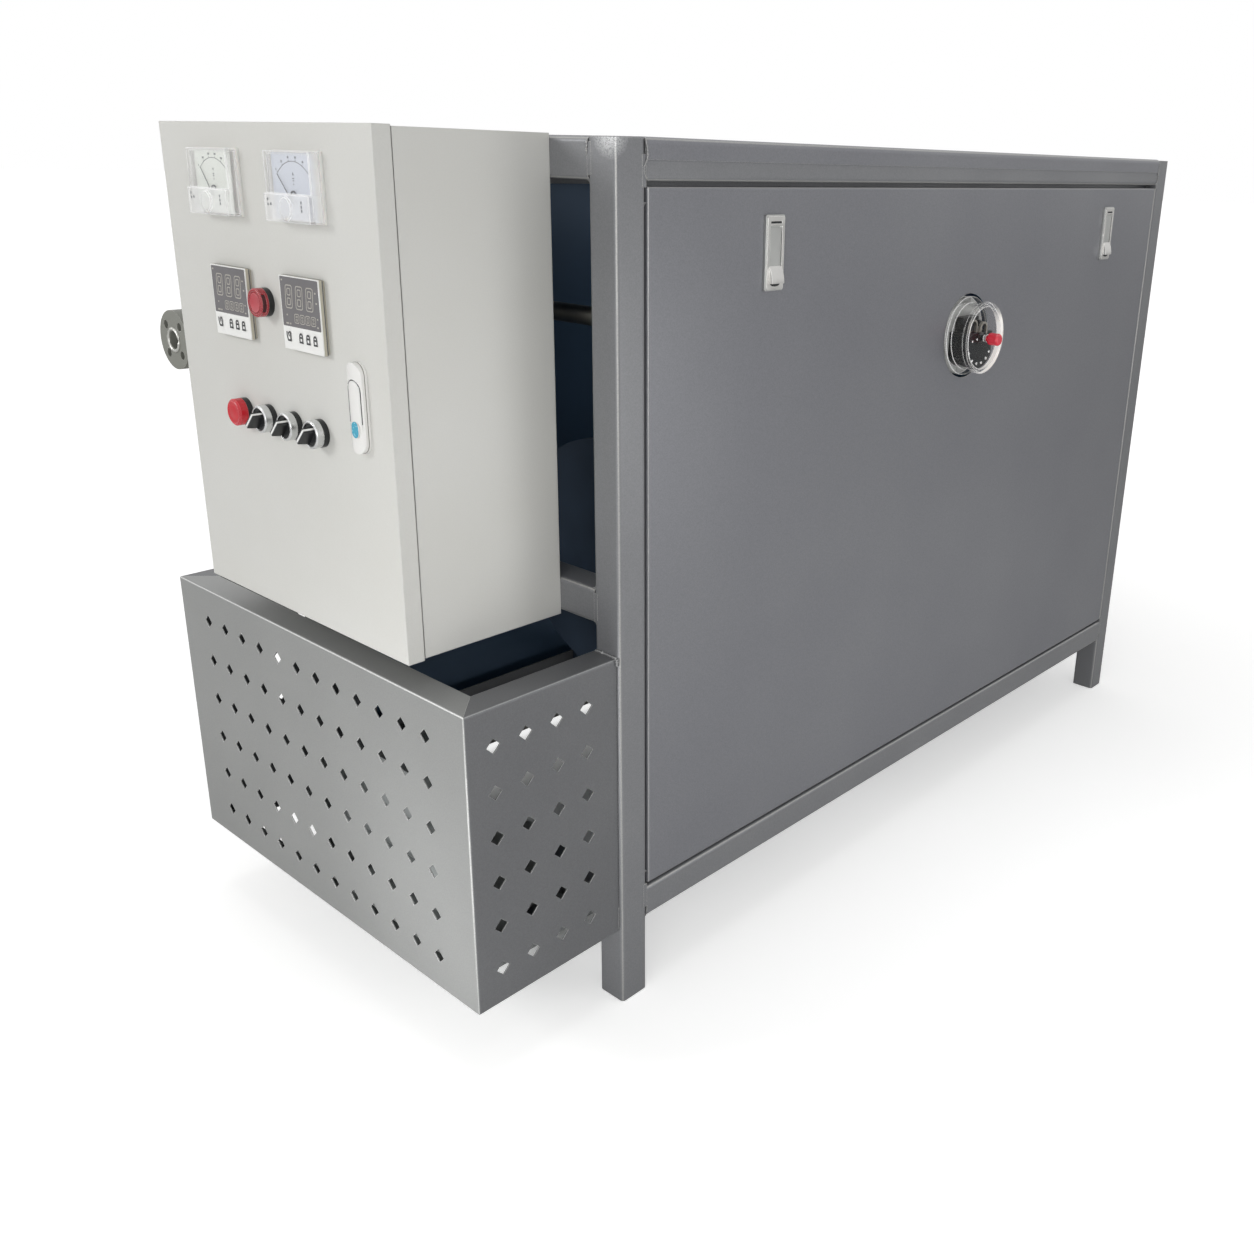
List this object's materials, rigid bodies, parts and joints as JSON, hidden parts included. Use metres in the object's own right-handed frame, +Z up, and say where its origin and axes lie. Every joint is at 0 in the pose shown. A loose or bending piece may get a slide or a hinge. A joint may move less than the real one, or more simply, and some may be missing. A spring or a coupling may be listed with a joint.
{
  "type": "electric thermal oil boiler with control cabinet",
  "caption": "Floor standing oil boiler in a grey welded tube frame, with panelled sides, a cream control cabinet and a perforated pump guard.",
  "frame": {"origin": "centre of the foot under the front post at the control end, on the floor", "axes": "+X along the frame away from the control cabinet, +Y from the gauge side to the rear, +Z up"},
  "size_m": [1.5193, 0.6505, 0.984],
  "materials": {
    "frame_paint": "hammered satin",
    "panel_paint": "hammered satin",
    "guard_paint": "satin",
    "cabinet_paint": "orange peel satin",
    "latch_zinc": "satin",
    "clear_cover": "clear",
    "white_plastic": "satin",
    "black_plastic": "satin",
    "red_plastic": "gloss",
    "blue_plastic": "gloss",
    "bright_trim": "polished",
    "pipe_steel": "dull",
    "cast_metal": "painted"
  },
  "bodies": {
    "frame": {"post_front_left": "frame_paint", "post_back_left": "frame_paint", "post_front_right": "frame_paint", "post_back_right": "frame_paint", "top_rail_front": "frame_paint", "top_rail_back": "frame_paint", "top_rail_left": "frame_paint", "top_rail_right": "frame_paint", "bottom_rail_front": "frame_paint", "bottom_rail_back": "frame_paint", "bottom_rail_left": "frame_paint", "bottom_rail_right": "frame_paint", "middle_rail": "frame_paint", "pump_base": "frame_paint", "drum_saddles": "frame_paint", "oil_flange": "frame_paint", "front_panel": "panel_paint", "back_panel": "panel_paint", "end_panel": "panel_paint", "roof_panel": "panel_paint", "guard_front": "guard_paint", "guard_near": "guard_paint", "guard_far": "guard_paint", "cabinet_body": "cabinet_paint", "latch_near": "latch_zinc", "latch_far": "latch_zinc", "door_hinges": "latch_zinc", "gauge_window": "clear_cover", "gauge_case": "black_plastic", "gauge_knob": "red_plastic", "gauge_pipe": "pipe_steel", "oil_pipes": "pipe_steel", "heater_drum": "pipe_steel", "pump_motor": "cast_metal", "oil_pump": "cast_metal"},
    "door": {"cabinet_door": "cabinet_paint", "door_handle": "white_plastic", "handle_button": "blue_plastic", "meter_base_left": "white_plastic", "meter_base_right": "white_plastic", "meter_cover_left": "clear_cover", "meter_cover_right": "clear_cover", "controller_left_unit": "white_plastic", "controller_right_unit": "white_plastic", "buzzer": "red_plastic", "lamp": "red_plastic", "switch_collars": "black_plastic", "selector_bezels": "bright_trim"},
    "knob_1": {"selector_knob_1": "black_plastic"},
    "knob_2": {"selector_knob_2": "black_plastic"},
    "knob_3": {"selector_knob_3": "black_plastic"}
  },
  "joints": [
    {"name": "door_hinge", "type": "hinge", "parent": "frame", "child": "door", "pos_m": [-0.214, 0.47, 0.7285], "axis": [0, 0, -1], "range_deg": [0, 90]},
    {"name": "selector_turn_1", "type": "hinge", "parent": "door", "child": "knob_1", "pos_m": [-0.22, 0.3, 0.69], "axis": [-1, 0, 0], "range_deg": [0, 90]},
    {"name": "selector_turn_2", "type": "hinge", "parent": "door", "child": "knob_2", "pos_m": [-0.22, 0.25, 0.69], "axis": [-1, 0, 0], "range_deg": [0, 90]},
    {"name": "selector_turn_3", "type": "hinge", "parent": "door", "child": "knob_3", "pos_m": [-0.22, 0.2, 0.69], "axis": [-1, 0, 0], "range_deg": [0, 90]}
  ]
}
